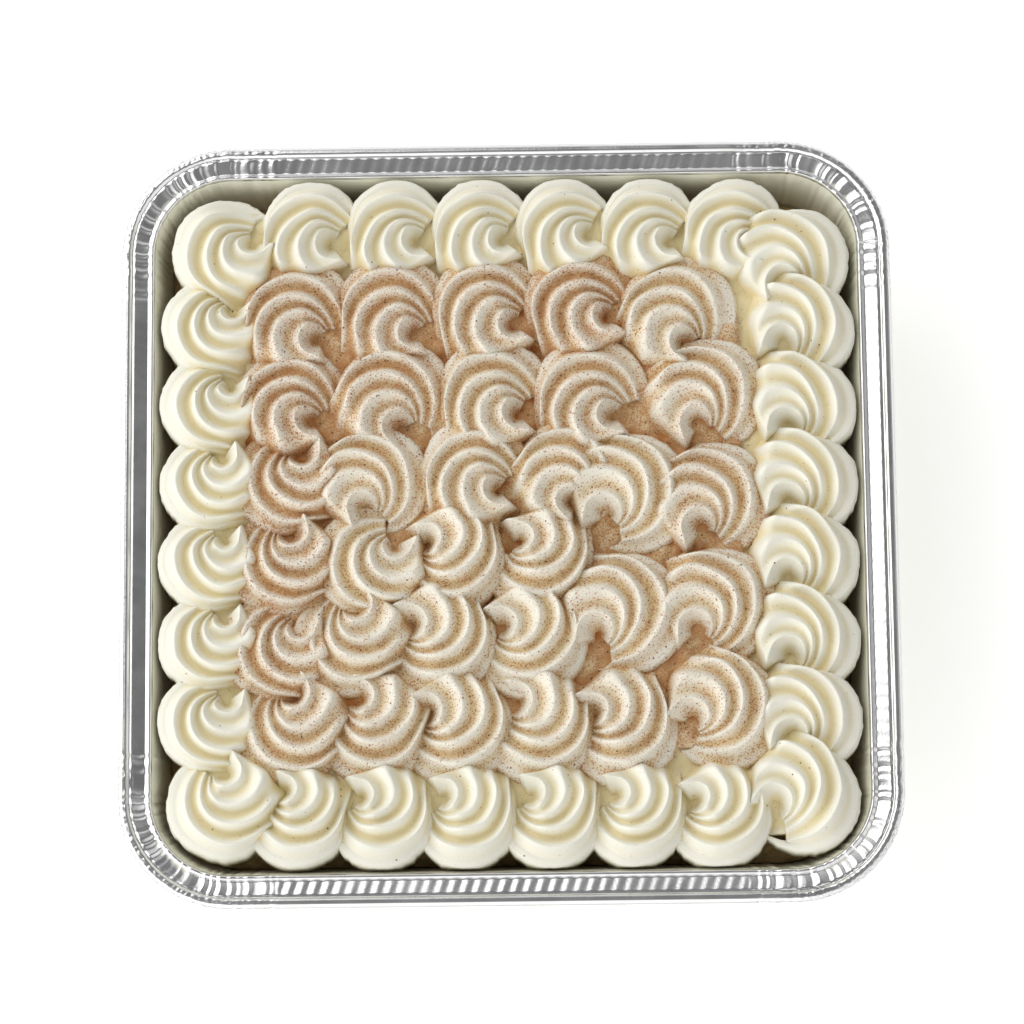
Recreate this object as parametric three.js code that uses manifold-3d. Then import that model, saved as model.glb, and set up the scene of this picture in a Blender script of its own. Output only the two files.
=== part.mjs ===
// Square tres leches cake in its foil tray, covered with piped swirls of whipped cream.
// Millimetres, +Z up. The origin is under the middle of the tray, on the surface it stands on.

import * as THREE from 'three';
import { mergeVertices } from 'three/addons/utils/BufferGeometryUtils.js';
import Module from 'manifold-3d';

const wasm = await Module();
wasm.setup();

// ---------------------------------------------------------------- driving dimensions

// The tray: an 8-inch square foil pan.
const TRAY_WIDTH = 206; // across the rolled rim
const TRAY_HEIGHT = 46; // up to the top of the rolled rim
const RIM_CORNER_RADIUS = 29.5; // of the rim's outline
const BEAD_RADIUS = 1.6; // of the roll round the rim
const FLANGE_WIDTH = 8.8; // from the rim's edge to the inner lip
const FLANGE_DROP = 1.2; // how far the flange lies below the roll's top
const LIP_ROLL = 1.4; // width of the round inner lip
const LIP_RISE = 0.3; // of the lip over the flange
const WALL_DRAFT = THREE.MathUtils.degToRad(12);
const WALL_THICKNESS = 0.5;
const BASE_BEND_RADIUS = 4; // where the wall meets the floor
const BEND_MIDDLE_OUT = 0.55; // the bend's middle, out from the floor's edge, in bend radii
const BEND_MIDDLE_UP = 0.3; // and up from the floor
const BEND_FLOOR_SHARE = 0.8; // how much of the bend lies over the floor's edge, in bend radii
const BASE_CORNER_RADIUS = 14; // of the floor's outline
const CORNER_STEPS = 5; // flats round one corner of the tray

// The cake and the cream on it.
const FIT_GAP = 0.3; // between neighbouring pieces
const CREAM_GAP = 0.5; // between the border's cream and the dusted cream laid over it
const CAKE_TOP = 36; // height of the sponge's top
const CAKE_SHOULDER_DROP = 8; // how far the sponge's round shoulder falls towards the wall
const CAKE_SHOULDER_WIDTH = 7;
const BORDER_BED_TOP = 42; // height of the spread cream between the border's swirls
const DUSTED_BED_TOP = 43.5; // and between the dusted ones
const BED_INSET = 9; // from the wall to the spread cream
const BED_CORNER_RADIUS = 18; // of its outline
const PRESSED_WIDTH = 1.5; // how broadly the cream is pressed in where it meets the wall
const SWIRL_BOTTOM = 37.2; // how deep the swirls are set into it
const BOTTOM_STEP = 0.17; // neighbours are set in to slightly different depths
const PLACE_DEPTH = 6; // how far a swirl's cut-out reaches down, in widths of the gap
const SWIRL_EDGE_HEIGHT = 42.5; // height of a border swirl's outer edge
const SWIRL_RISE = 9; // from that edge to the highest ridge
const RING_STEP = 0.8; // each inner ring lies this much higher
const DUSTED_BED_HALF = 62; // half the width of the cream under the dusted swirls
const DUSTED_BED_CORNER = 10; // the corner radius of its outline
const SWIRL_STEPS = 5; // steps along a ridge

// ---------------------------------------------------------------- closed bodies

// A closed body from rows of points: the first and the last row are filled in with flat faces,
// and each row is joined to the next one all the way round.
function ringBody(rings) {
  const count = rings[0].length;
  const points = rings.flat();
  const faces = [];
  for (let ring = 0; ring + 1 < rings.length; ring++) {
    for (let i = 0; i < count; i++) {
      const next = (i + 1) % count;
      const [a, b] = [ring * count + i, ring * count + next];
      faces.push([a, b, b + count], [a, b + count, a + count]);
    }
  }
  const last = (rings.length - 1) * count;
  for (let i = 1; i + 1 < count; i++) {
    faces.push([0, i + 1, i], [last, last + i, last + i + 1]);
  }
  return bufferGeometry(points, faces);
}

function bufferGeometry(points, faces) {
  const geometry = new THREE.BufferGeometry();
  geometry.setAttribute('position', new THREE.Float32BufferAttribute(points.flat(), 3));
  geometry.setIndex(faces.flat());
  return geometry;
}

function solid(geometry) {
  const merged = mergeVertices(geometry, 1e-4);
  return new wasm.Manifold(new wasm.Mesh({
    numProp: 3,
    vertProperties: new Float32Array(merged.attributes.position.array),
    triVerts: new Uint32Array(merged.index.array),
  }));
}

function geometryOf(manifold) {
  const mesh = manifold.getMesh();
  const geometry = new THREE.BufferGeometry();
  geometry.setAttribute('position', new THREE.BufferAttribute(mesh.vertProperties, 3));
  geometry.setIndex(new THREE.BufferAttribute(mesh.triVerts, 1));
  return geometry;
}

// ---------------------------------------------------------------- the tray's outline

// Points of a square with rounded corners, counter-clockwise from above.
function roundedSquare(half, cornerRadius, z) {
  const points = [];
  const middle = half - cornerRadius;
  for (let corner = 0; corner < 4; corner++) {
    for (let step = 0; step <= CORNER_STEPS; step++) {
      const angle = (corner + step / CORNER_STEPS) * Math.PI / 2;
      const [sideX, sideY] = [[1, 1], [-1, 1], [-1, -1], [1, -1]][corner];
      points.push([
        sideX * middle + cornerRadius * Math.cos(angle),
        sideY * middle + cornerRadius * Math.sin(angle),
        z,
      ]);
    }
  }
  return points;
}

const RIM_HALF = TRAY_WIDTH / 2;
const LIP_HALF = RIM_HALF - FLANGE_WIDTH;
const FLANGE_TOP = TRAY_HEIGHT - FLANGE_DROP;
const LIP_CORNER_RADIUS = RIM_CORNER_RADIUS - FLANGE_WIDTH;
const FOOT_HALF = LIP_HALF - (FLANGE_TOP - BASE_BEND_RADIUS) * Math.tan(WALL_DRAFT);
const FLOOR_HALF = FOOT_HALF - BASE_BEND_RADIUS * BEND_FLOOR_SHARE;

// Half the width between the walls' inner faces, at a height.
function innerHalf(z) {
  return LIP_HALF - (FLANGE_TOP - z) * Math.tan(WALL_DRAFT);
}

// Corner radius of a level outline of the wall, by its half width.
function wallCorner(half) {
  const up = (half - FLOOR_HALF) / (LIP_HALF - FLOOR_HALF);
  return THREE.MathUtils.lerp(BASE_CORNER_RADIUS, LIP_CORNER_RADIUS, up);
}

function wallRing(half, z) {
  return roundedSquare(half, wallCorner(half), z);
}

function rimRing(half, z) {
  return roundedSquare(half, RIM_CORNER_RADIUS - (RIM_HALF - half), z);
}

// The tray's cut sheet, from under the floor round its whole section to the floor inside.
function trayGeometry() {
  const t = WALL_THICKNESS;
  const bend = BASE_BEND_RADIUS;
  const beadX = RIM_HALF - BEAD_RADIUS;
  const beadZ = TRAY_HEIGHT - BEAD_RADIUS;
  const beadPoint = (degrees) => {
    const angle = THREE.MathUtils.degToRad(degrees);
    return rimRing(beadX + BEAD_RADIUS * Math.cos(angle), beadZ + BEAD_RADIUS * Math.sin(angle));
  };
  const bendOut = FLOOR_HALF + bend * BEND_MIDDLE_OUT;
  const bendUp = bend * BEND_MIDDLE_UP;
  const wallTop = FLANGE_TOP - LIP_ROLL;
  const flangeUnder = FLANGE_TOP - t;
  return ringBody([
    wallRing(FLOOR_HALF, 0), // under the floor
    wallRing(bendOut + t / 2, bendUp - t / 2),
    wallRing(FOOT_HALF + t, bend),
    wallRing(innerHalf(wallTop) + t, wallTop), // up the outside of the wall
    rimRing(LIP_HALF + LIP_ROLL, flangeUnder),
    rimRing(beadX - BEAD_RADIUS, flangeUnder), // under the flange
    beadPoint(-135),
    beadPoint(-90), // round the rolled rim
    beadPoint(-45),
    beadPoint(0),
    beadPoint(45),
    beadPoint(90),
    beadPoint(135),
    rimRing(beadX - BEAD_RADIUS, FLANGE_TOP), // over the flange
    rimRing(LIP_HALF + LIP_ROLL, FLANGE_TOP),
    rimRing(LIP_HALF + LIP_ROLL / 2, FLANGE_TOP + LIP_RISE), // the inner lip
    rimRing(LIP_HALF, FLANGE_TOP - LIP_RISE),
    wallRing(innerHalf(wallTop), wallTop), // down the inside of the wall
    wallRing(FOOT_HALF, bend),
    wallRing(bendOut, bendUp + t / 2),
    wallRing(FLOOR_HALF, t), // the floor
  ]);
}

function cakeGeometry() {
  const bend = BASE_BEND_RADIUS;
  const shoulder = CAKE_TOP - CAKE_SHOULDER_DROP;
  const shoulderHalf = innerHalf(shoulder) - FIT_GAP;
  return ringBody([
    wallRing(FLOOR_HALF - FIT_GAP, WALL_THICKNESS + FIT_GAP),
    wallRing(FLOOR_HALF + bend * BEND_MIDDLE_OUT - FIT_GAP, bend * BEND_MIDDLE_UP + WALL_THICKNESS),
    wallRing(FOOT_HALF - FIT_GAP * 1.3, bend + FIT_GAP),
    wallRing(shoulderHalf, shoulder),
    wallRing(shoulderHalf - CAKE_SHOULDER_WIDTH / 2, CAKE_TOP - CAKE_SHOULDER_DROP / 4),
    wallRing(shoulderHalf - CAKE_SHOULDER_WIDTH, CAKE_TOP),
  ]);
}

// ---------------------------------------------------------------- one piped swirl

// A swirl's ridges, in units of its radius, with +x the way the row was piped and +y the side
// that faces the wall: its edge, the low skirt, four ridges, the innermost of which hooks round
// the eye, and the eye itself. Each runs round an arc from one angle to another, opening by its
// flare, and trails off straight. rise is its share of the swirl's height, and dip is the depth in
// millimetres of the groove just inside it.
const RIDGES = [
  { centre: [0.00, 0.00], radius: 1.00, from: -14, to: 186, flare: 0.20, tail: 0.90, rise: 0.00, dip: 0.0 },
  { centre: [0.00, -0.02], radius: 0.90, from: -6, to: 186, flare: 0.20, tail: 0.84, rise: 0.42, dip: 0.8 },
  { centre: [0.00, -0.13], radius: 0.88, from: 16, to: 184, flare: 0.15, tail: 0.74, rise: 0.86, dip: 2.8 },
  { centre: [0.02, -0.22], radius: 0.58, from: 24, to: 184, flare: 0.24, tail: 0.66, rise: 1.00, dip: 2.3 },
  { centre: [0.18, -0.32], radius: 0.36, from: 34, to: 190, flare: 0.30, tail: 0.55, rise: 0.96, dip: 1.9 },
  { centre: [0.44, -0.38], radius: 0.20, from: 56, to: 250, flare: 0.50, tail: 0.45, rise: 0.84, dip: 0.0 },
  { centre: [0.46, -0.38], radius: 0.05, from: 70, to: 280, flare: 0.00, tail: 0.10, rise: 0.10, dip: 0.0 },
];
const ARC_SHARE = 0.8; // of the steps along a ridge; the others lie on its straight tail

function ridgePoint(ridge, v) {
  const round = Math.min(v / ARC_SHARE, 1);
  const angle = THREE.MathUtils.degToRad(THREE.MathUtils.lerp(ridge.from, ridge.to, round));
  const radius = ridge.radius * (1 + ridge.flare * round ** 3);
  const trail = ridge.tail * Math.max(v - ARC_SHARE, 0) / (1 - ARC_SHARE);
  return [
    ridge.centre[0] + radius * Math.cos(angle) - trail * Math.sin(angle),
    ridge.centre[1] + radius * Math.sin(angle) + trail * Math.cos(angle),
    ridge.rise,
  ];
}

// A point of line number u (a ridge, or between two) at v, from the eye (0) to the tail (1).
function swirlPoint(u, v) {
  const low = Math.min(Math.floor(u), RIDGES.length - 2);
  const [a, b] = [ridgePoint(RIDGES[low], v), ridgePoint(RIDGES[low + 1], v)];
  return a.map((value, axis) => THREE.MathUtils.lerp(value, b[axis], u - low));
}

// Share of the full height along a ridge: low at the eye, full over the back, less at the tail.
function alongRidge(v) {
  const out = THREE.MathUtils.smoothstep(v, 0, 0.35);
  const down = THREE.MathUtils.smoothstep(v, 0.6, 1);
  return 0.28 + 0.72 * out - 0.4 * down;
}

// Keeps a distance under a limit: it is left alone well below, and then closes in on the limit.
function softLimit(distance, limit) {
  const start = limit - PRESSED_WIDTH;
  if (distance <= start) return distance;
  return limit - PRESSED_WIDTH * Math.exp((start - distance) / PRESSED_WIDTH);
}

// Presses a point of the cream back inside the tray's wall.
function insideWall(x, y, z) {
  const half = innerHalf(z) - FIT_GAP;
  const corner = wallCorner(half);
  const middle = half - corner;
  const [outX, outY] = [Math.abs(x) - middle, Math.abs(y) - middle];
  if (outX > 0 && outY > 0) {
    const out = Math.hypot(outX, outY);
    const scale = softLimit(out, corner) / out;
    return [Math.sign(x) * (middle + outX * scale), Math.sign(y) * (middle + outY * scale), z];
  }
  return [
    Math.sign(x) * softLimit(Math.abs(x), half),
    Math.sign(y) * softLimit(Math.abs(y), half),
    z,
  ];
}

// The lines across a swirl: its edge, the skirt, then ridges with a groove before and after the
// highest one, and last the ridge that hooks round the eye.
const LINES = [0, 1, 2, 2.5, 3, 3.5, 4, 5];

// grow swells the swirl on all sides, for cutting its place out of a neighbour.
function swirlGeometry(swirl, grow = 0) {
  const [sin, cos] = [Math.sin(swirl.turn), Math.cos(swirl.turn)];
  const size = swirl.radius + grow;
  const place = (x, y, z) => insideWall(
    swirl.x + size * (x * cos - y * sin),
    swirl.y + size * (x * sin + y * cos),
    z,
  );
  const bottom = swirl.bottom - grow * PLACE_DEPTH;
  const top = [];
  const base = [];
  for (const u of LINES) {
    const groove = u % 1 === 0 ? 0 : RIDGES[Math.floor(u)].dip;
    for (let step = 0; step <= SWIRL_STEPS; step++) {
      const v = step / SWIRL_STEPS;
      const [x, y, rise] = swirlPoint(u, v);
      const up = (SWIRL_RISE * rise - groove) * alongRidge(v);
      top.push(place(x, y, swirl.edgeHeight + Math.max(up, 0) + grow));
      base.push(place(x, y, bottom));
    }
  }
  const across = SWIRL_STEPS + 1;
  const faces = [];
  const quad = (a, b, c, d) => faces.push([a, b, c], [a, c, d]);
  const under = top.length;
  for (let line = 0; line + 1 < LINES.length; line++) {
    for (let step = 0; step < SWIRL_STEPS; step++) {
      const a = line * across + step;
      const b = a + across;
      quad(a, a + 1, b + 1, b);
      quad(under + a, under + b, under + b + 1, under + a + 1);
    }
    const [eye, tail] = [line * across, line * across + SWIRL_STEPS];
    quad(eye, eye + across, under + eye + across, under + eye);
    quad(tail + across, tail, under + tail, under + tail + across);
  }
  const side = (LINES.length - 1) * across;
  for (let step = 0; step < SWIRL_STEPS; step++) {
    quad(step + 1, step, under + step, under + step + 1);
    quad(side + step, side + step + 1, under + side + step + 1, under + side + step);
  }
  return bufferGeometry([...top, ...base], faces);
}

// ---------------------------------------------------------------- the rows of swirls

// The swirls run clockwise round the cake in four rings. Each row is piped from one centre to
// another; turns gives how each of its swirls is turned, in degrees from +X.
const ROWS = [
  { ring: 0, from: [-75.3, 74.8], to: [-75.3, 74.8], radius: 12.6, turns: [51] },
  { ring: 0, from: [-52.4, 80.4], to: [61.0, 79.6], radius: 12.9, turns: [-6, 0, 3, 12, -7, -12] },
  { ring: 0, from: [79.0, 69.2], to: [79.0, 69.2], radius: 12.4, turns: [-90] },
  {
    ring: 0,
    from: [79.8, 51.0],
    to: [79.0, -54.2],
    radius: 12.4,
    turns: [-109, -99, -102, -108, -107, -102],
  },
  { ring: 0, from: [76.7, -76.6], to: [76.7, -76.6], radius: 12.4, turns: [-122] },
  {
    ring: 0,
    from: [54.6, -80.2],
    to: [-55.8, -79.2],
    radius: 12.4,
    turns: [186, 171, 171, 177, 174, 158],
  },
  { ring: 0, from: [-74.9, -73.6], to: [-74.9, -73.6], radius: 12.6, turns: [112] },
  { ring: 0, from: [-79.6, -53.6], to: [-79.0, 53.4], radius: 12.9, turns: [81, 91, 90, 98, 77, 74] },
  { ring: 1, from: [-55.6, 56.2], to: [19.9, 58.4], radius: 13.2, turns: [-19, -11, 4, 6] },
  { ring: 1, from: [45.8, 55.4], to: [45.8, 55.4], radius: 15.0, turns: [-38] },
  { ring: 1, from: [52.4, 33.0], to: [55.4, -52.4], radius: 13.6, turns: [-71, -77, -91, -129] },
  { ring: 1, from: [29.4, -55.8], to: [-57.8, -55.2], radius: 13.0, turns: [192, 170, 190, 155, 122] },
  { ring: 1, from: [-61.2, -34.0], to: [-57.4, 33.0], radius: 12.8, turns: [77, 110, 95, -12] },
  { ring: 2, from: [-29.7, 33.4], to: [22.2, 33.4], radius: 13.2, turns: [-43, 0, -8] },
  { ring: 2, from: [32.4, 5.0], to: [30.6, -26.0], radius: 14.2, turns: [-102, -105] },
  { ring: 2, from: [5.5, -33.4], to: [-42.0, -32.6], radius: 13.2, turns: [189, 188, 117] },
  { ring: 2, from: [-36.6, -11.7], to: [-35.4, 10.4], radius: 12.8, turns: [71, -70] },
  { ring: 3, from: [-8.6, 12.4], to: [16.6, 12.0], radius: 12.8, turns: [-3, -48] },
  { ring: 3, from: [8.4, -12.3], to: [-14.9, -11.9], radius: 12.4, turns: [174, 182] },
];

function swirlsOf(row) {
  return row.turns.map((turn, number) => {
    const along = row.turns.length > 1 ? number / (row.turns.length - 1) : 0;
    return {
      ring: row.ring,
      x: THREE.MathUtils.lerp(row.from[0], row.to[0], along),
      y: THREE.MathUtils.lerp(row.from[1], row.to[1], along),
      radius: row.radius,
      turn: THREE.MathUtils.degToRad(turn),
      edgeHeight: SWIRL_EDGE_HEIGHT + row.ring * RING_STEP,
      bottom: SWIRL_BOTTOM + (number % 3) * BOTTOM_STEP,
    };
  });
}

const SWIRLS = ROWS.flatMap(swirlsOf);
const BORDER_SWIRLS = SWIRLS.filter((swirl) => swirl.ring === 0);
const DUSTED_SWIRLS = SWIRLS.filter((swirl) => swirl.ring > 0);

function creamBed(half, cornerRadius, bottom, top) {
  return solid(ringBody([
    roundedSquare(half, cornerRadius, bottom),
    roundedSquare(half, cornerRadius, top),
  ]));
}

// The one large body of a joined or cut solid, without loose scraps and with sealed hollows filled.
function largestBody(manifold) {
  return manifold.decompose().reduce((best, body) => (body.volume() > best.volume() ? body : best));
}

// Joins swirls onto their bed of spread cream.
function pipedCream(bed, swirls, grow = 0) {
  const piped = swirls.map((swirl) => solid(swirlGeometry(swirl, grow)));
  return wasm.Manifold.union([bed, ...piped]);
}

const BED_BOTTOM = CAKE_TOP + FIT_GAP;
const dustedBed = creamBed(DUSTED_BED_HALF, DUSTED_BED_CORNER, BED_BOTTOM, DUSTED_BED_TOP);
const dustedCream = largestBody(pipedCream(dustedBed, DUSTED_SWIRLS));

const dustedPlace = pipedCream(
  creamBed(DUSTED_BED_HALF + CREAM_GAP, DUSTED_BED_CORNER, BED_BOTTOM - 1, DUSTED_BED_TOP + CREAM_GAP),
  DUSTED_SWIRLS,
  CREAM_GAP,
);
const borderBedHalf = innerHalf(BED_BOTTOM) - BED_INSET;
const borderBed = creamBed(borderBedHalf, BED_CORNER_RADIUS, BED_BOTTOM, BORDER_BED_TOP);
const borderCream = largestBody(pipedCream(borderBed, BORDER_SWIRLS).subtract(dustedPlace));

// ---------------------------------------------------------------- the pieces

const materials = {
  foil: new THREE.MeshStandardMaterial({ color: 0xc8c9cc, roughness: 0.28, metalness: 1 }),
  sponge: new THREE.MeshStandardMaterial({ color: 0xe6cf95, roughness: 0.8, metalness: 0 }),
  cream: new THREE.MeshStandardMaterial({ color: 0xf0ead6, roughness: 0.5, metalness: 0 }),
  dustedCream: new THREE.MeshStandardMaterial({ color: 0xd9b995, roughness: 0.6, metalness: 0 }),
};

const group = new THREE.Group();

function addPiece(name, geometry, material) {
  const mesh = new THREE.Mesh(geometry, material);
  mesh.name = name;
  group.add(mesh);
}

addPiece('foil_tray', trayGeometry(), materials.foil);
addPiece('sponge_cake', cakeGeometry(), materials.sponge);
addPiece('border_cream', geometryOf(borderCream), materials.cream);
addPiece('dusted_cream', geometryOf(dustedCream), materials.dustedCream);

export default group;
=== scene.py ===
# %% [markdown]
# # A tres leches cake in its foil tray
# The object is a square milk-soaked sponge cake that never left its foil tray. Its top is covered
# with whipped cream, piped as four rings of overlapping swirls, and the inner rings are dusted with
# cinnamon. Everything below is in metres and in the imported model's frame: +Z is up, +X is to the
# right of the usual view, and the origin is under the middle of the tray, on the floor.

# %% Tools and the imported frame
import bisect
import bpy
import bmesh
import math
import random
import numpy as np
from mathutils import Matrix, Vector, noise
from mathutils.bvhtree import BVHTree


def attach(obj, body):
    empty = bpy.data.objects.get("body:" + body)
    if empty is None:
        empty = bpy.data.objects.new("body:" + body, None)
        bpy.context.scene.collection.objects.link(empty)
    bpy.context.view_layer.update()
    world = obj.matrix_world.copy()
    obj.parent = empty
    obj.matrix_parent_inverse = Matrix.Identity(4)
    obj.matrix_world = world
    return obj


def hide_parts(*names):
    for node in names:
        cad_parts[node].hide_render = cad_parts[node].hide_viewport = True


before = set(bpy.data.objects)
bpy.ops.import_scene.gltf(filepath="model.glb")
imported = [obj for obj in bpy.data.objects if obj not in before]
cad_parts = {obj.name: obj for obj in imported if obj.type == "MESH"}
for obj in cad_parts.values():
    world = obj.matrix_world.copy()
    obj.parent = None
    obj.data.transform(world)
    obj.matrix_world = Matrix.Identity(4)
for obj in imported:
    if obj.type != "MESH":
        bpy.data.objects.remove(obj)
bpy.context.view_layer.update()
MM = 0.001
print("nodes:", sorted(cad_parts))

# %% [markdown]
# ## Camera
# The view is almost straight down, from a little in front of the tray, through a long lens. The
# place and the turns below put the rim's four edges where they are seen from that point. A camera
# could also be aimed by a constraint, but fixed numbers keep the edges from moving later.

# %% Camera
CAMERA_PLACE = (0.0168, -0.2498, 1.2098)
CAMERA_TURN = (math.radians(12.173), math.radians(0.903), math.radians(-0.593))
CAMERA_LENS = 158.2  # in millimetres, on a sensor as wide as a full film frame
SENSOR_WIDTH = 36

camera = bpy.data.objects.new("camera", bpy.data.cameras.new("camera"))
camera.data.lens = CAMERA_LENS
camera.data.sensor_width = SENSOR_WIDTH
camera.data.clip_end = 50
camera.location = CAMERA_PLACE
camera.rotation_euler = CAMERA_TURN
scene = bpy.context.scene
scene.collection.objects.link(camera)
scene.camera = camera
scene.view_settings.view_transform = "Standard"
print("camera is", round(camera.location.length, 3), "m from the origin")

# %% [markdown]
# ## Helpers for meshes
# Each piece starts as a bmesh. When its shape is done, its normals are made to point outwards and
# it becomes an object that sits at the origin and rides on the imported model's one body.

# %% From a bmesh to a finished piece
def finish_piece(name, form, material, node, smooth=True):
    for face in form.faces:
        face.smooth = smooth
    mesh = bpy.data.meshes.new(name)
    form.to_mesh(mesh)
    form.free()
    mesh.materials.append(material)
    piece = bpy.data.objects.new(name, mesh)
    scene.collection.objects.link(piece)
    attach(piece, "root")
    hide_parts(node)
    mesh.calc_loop_triangles()
    print(name, "has", len(mesh.loop_triangles), "triangles")


def blend(low, high, share):
    return low + (high - low) * share


def ease(value, low, high):
    share = min(max((value - low) / (high - low), 0), 1)
    return share * share * (3 - 2 * share)

# %% [markdown]
# ## Helpers for materials
# A finish is a small tree of nodes round one Principled shader. Effects that several finishes use,
# such as grain and dust, are node groups with named inputs and outputs.

# %% Node helpers
def new_material(name):
    material = bpy.data.materials.new(name)
    material.use_nodes = True
    tree = material.node_tree
    return material, tree, tree.nodes["Principled BSDF"]


def new_group(name, inputs, outputs):
    tree = bpy.data.node_groups.new(name, "ShaderNodeTree")
    for label, kind, value in inputs:
        socket = tree.interface.new_socket(label, in_out="INPUT", socket_type="NodeSocket" + kind)
        socket.default_value = value
    for label, kind in outputs:
        tree.interface.new_socket(label, in_out="OUTPUT", socket_type="NodeSocket" + kind)
    return tree, tree.nodes.new("NodeGroupInput"), tree.nodes.new("NodeGroupOutput")


def feed(tree, node, sources):
    """Link a node's inputs to sockets, or set them to plain values."""
    for socket, source in dict(sources).items():
        if isinstance(source, bpy.types.NodeSocket):
            tree.links.new(source, node.inputs[socket])
        else:
            node.inputs[socket].default_value = source
    return node


def put(tree, kind, links=(), **settings):
    node = tree.nodes.new("ShaderNode" + kind)
    for key, value in settings.items():
        setattr(node, key, value)
    return feed(tree, node, links)


def math_node(tree, operation, first, second=0.5, clamp=False):
    return put(tree, "Math", {0: first, 1: second}, operation=operation, use_clamp=clamp).outputs[0]


def add_product(tree, first, second, added):
    """first * second + added"""
    return put(tree, "Math", {0: first, 1: second, 2: added}, operation="MULTIPLY_ADD").outputs[0]


def mix_colours(tree, share, first, second):
    return put(tree, "Mix", {"Factor": share, 6: first, 7: second}, data_type="RGBA").outputs[2]


def rescale(tree, value, low, high, to_low=0.0, to_high=1.0):
    links = {"Value": value, "From Min": low, "From Max": high, "To Min": to_low, "To Max": to_high}
    return put(tree, "MapRange", links, interpolation_type="SMOOTHSTEP").outputs[0]


def object_place(tree):
    return put(tree, "TexCoord").outputs["Object"]


def place_group(tree, group, links):
    node = tree.nodes.new("ShaderNodeGroup")
    node.node_tree = group
    return feed(tree, node, links)


def bump(tree, height, strength, distance):
    links = {"Height": height, "Strength": strength, "Distance": distance}
    return put(tree, "Bump", links).outputs["Normal"]

# %% [markdown]
# ## Floor and light
# The cake stands on a plain, almost white floor that glows a little, as on a light table, so its
# shadow stays pale. A wide soft light hangs high at the far left and a weaker one at the near
# right, so that the cream's grooves read as soft shade. The world is dark straight above, bright
# low down, and brighter to the left and to the front: this is what the foil reflects.

# %% Floor
floor_finish, tree, shader = new_material("pale_floor")
cloud = put(tree, "TexNoise", {"Vector": object_place(tree), "Scale": 2.0}).outputs["Fac"]
FLOOR_COLOUR = (0.96, 0.96, 0.96, 1)
FLOOR_COLOUR_FAR = (0.98, 0.98, 0.98, 1)
tree.links.new(mix_colours(tree, cloud, FLOOR_COLOUR, FLOOR_COLOUR_FAR), shader.inputs["Base Color"])
shader.inputs["Roughness"].default_value = 0.9
FLOOR_GLOW = 0.3
shader.inputs["Emission Color"].default_value = FLOOR_COLOUR
shader.inputs["Emission Strength"].default_value = FLOOR_GLOW

FLOOR_HALF_WIDTH = 4
form = bmesh.new()
bmesh.ops.create_grid(form, x_segments=4, y_segments=4, size=FLOOR_HALF_WIDTH)
floor_mesh = bpy.data.meshes.new("floor")
form.to_mesh(floor_mesh)
form.free()
floor_mesh.materials.append(floor_finish)
floor = bpy.data.objects.new("floor", floor_mesh)
scene.collection.objects.link(floor)
print("floor is", 2 * FLOOR_HALF_WIDTH, "m wide")

# %% Lights
def soft_light(name, place, size, power):
    light = bpy.data.lights.new(name, "AREA")
    light.shape = "SQUARE"
    light.size = size
    light.energy = power
    lamp = bpy.data.objects.new(name, light)
    lamp.location = place
    lamp.rotation_euler = Vector(place).to_track_quat("Z", "Y").to_euler()
    lamp.visible_camera = False
    scene.collection.objects.link(lamp)


soft_light("key_light", (-0.92, 0.72, 1.32), 1.5, 11)
soft_light("fill_light", (1.2, -0.5, 1.1), 1.4, 3)

# %% World
SKY_HIGH = 0.24  # how bright it is straight above the cake, where the camera stands
SKY_LOW = 1.25  # and how bright it is from half way down to the horizon
SKY_LEFT = 0.65  # how much brighter the left is than the middle
SKY_NEAR = 0.3  # and the front
SKY_FADE = (0.45, 0.93)  # it goes dark between these heights of the direction looked in
world = bpy.data.worlds.new("soft_world")
world.use_nodes = True
tree = world.node_tree
way = put(tree, "SeparateXYZ", {"Vector": put(tree, "TexCoord").outputs["Generated"]})
sky = rescale(tree, way.outputs["Z"], *SKY_FADE, SKY_LOW, SKY_HIGH)
for axis, gain in (("X", SKY_LEFT), ("Y", SKY_NEAR)):
    span = {"Value": way.outputs[axis], "From Min": -1.0, "To Min": 1 + gain, "To Max": 1 - gain}
    sky = math_node(tree, "MULTIPLY", sky, put(tree, "MapRange", span).outputs[0])
tree.links.new(sky, tree.nodes["Background"].inputs["Strength"])
tree.nodes["Background"].inputs["Color"].default_value = (1, 1, 1, 1)
scene.world = world

# %% [markdown]
# ## The foil tray: its size
# The tray is one sheet of thin aluminium, pressed in a die: a floor, four drafted walls, a fluted
# flange and a rim that is rolled under. It could be modelled flat and bent, but its form is simply
# one cross-section carried round a rounded square, so that is how the sheet is laid out.

# %% Sizes of the tray
RIM_HALF = 103 * MM
TRAY_HEIGHT = 46 * MM
RIM_CORNER_RADIUS = 29.5 * MM
BEAD_RADIUS = 1.6 * MM
FLANGE_WIDTH = 8.8 * MM
FLANGE_DROP = 1.2 * MM
FLANGE_SLOPE = 0.5 * MM  # the flange leans down to the inside by this, up and down from its middle
WALL_DRAFT = math.radians(12)
WALL_THICKNESS = 0.5 * MM
BASE_BEND_RADIUS = 4 * MM
BASE_CORNER_RADIUS = 14 * MM
FIT_GAP = 0.3 * MM
LIP_HALF = RIM_HALF - FLANGE_WIDTH
FLANGE_TOP = TRAY_HEIGHT - FLANGE_DROP
LIP_CORNER_RADIUS = RIM_CORNER_RADIUS - FLANGE_WIDTH
FOOT_HALF = LIP_HALF - (FLANGE_TOP - BASE_BEND_RADIUS) * math.tan(WALL_DRAFT)
FLOOR_HALF = FOOT_HALF - BASE_BEND_RADIUS * 0.8


def inner_half(z):
    return LIP_HALF - (FLANGE_TOP - z) * math.tan(WALL_DRAFT)


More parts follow.
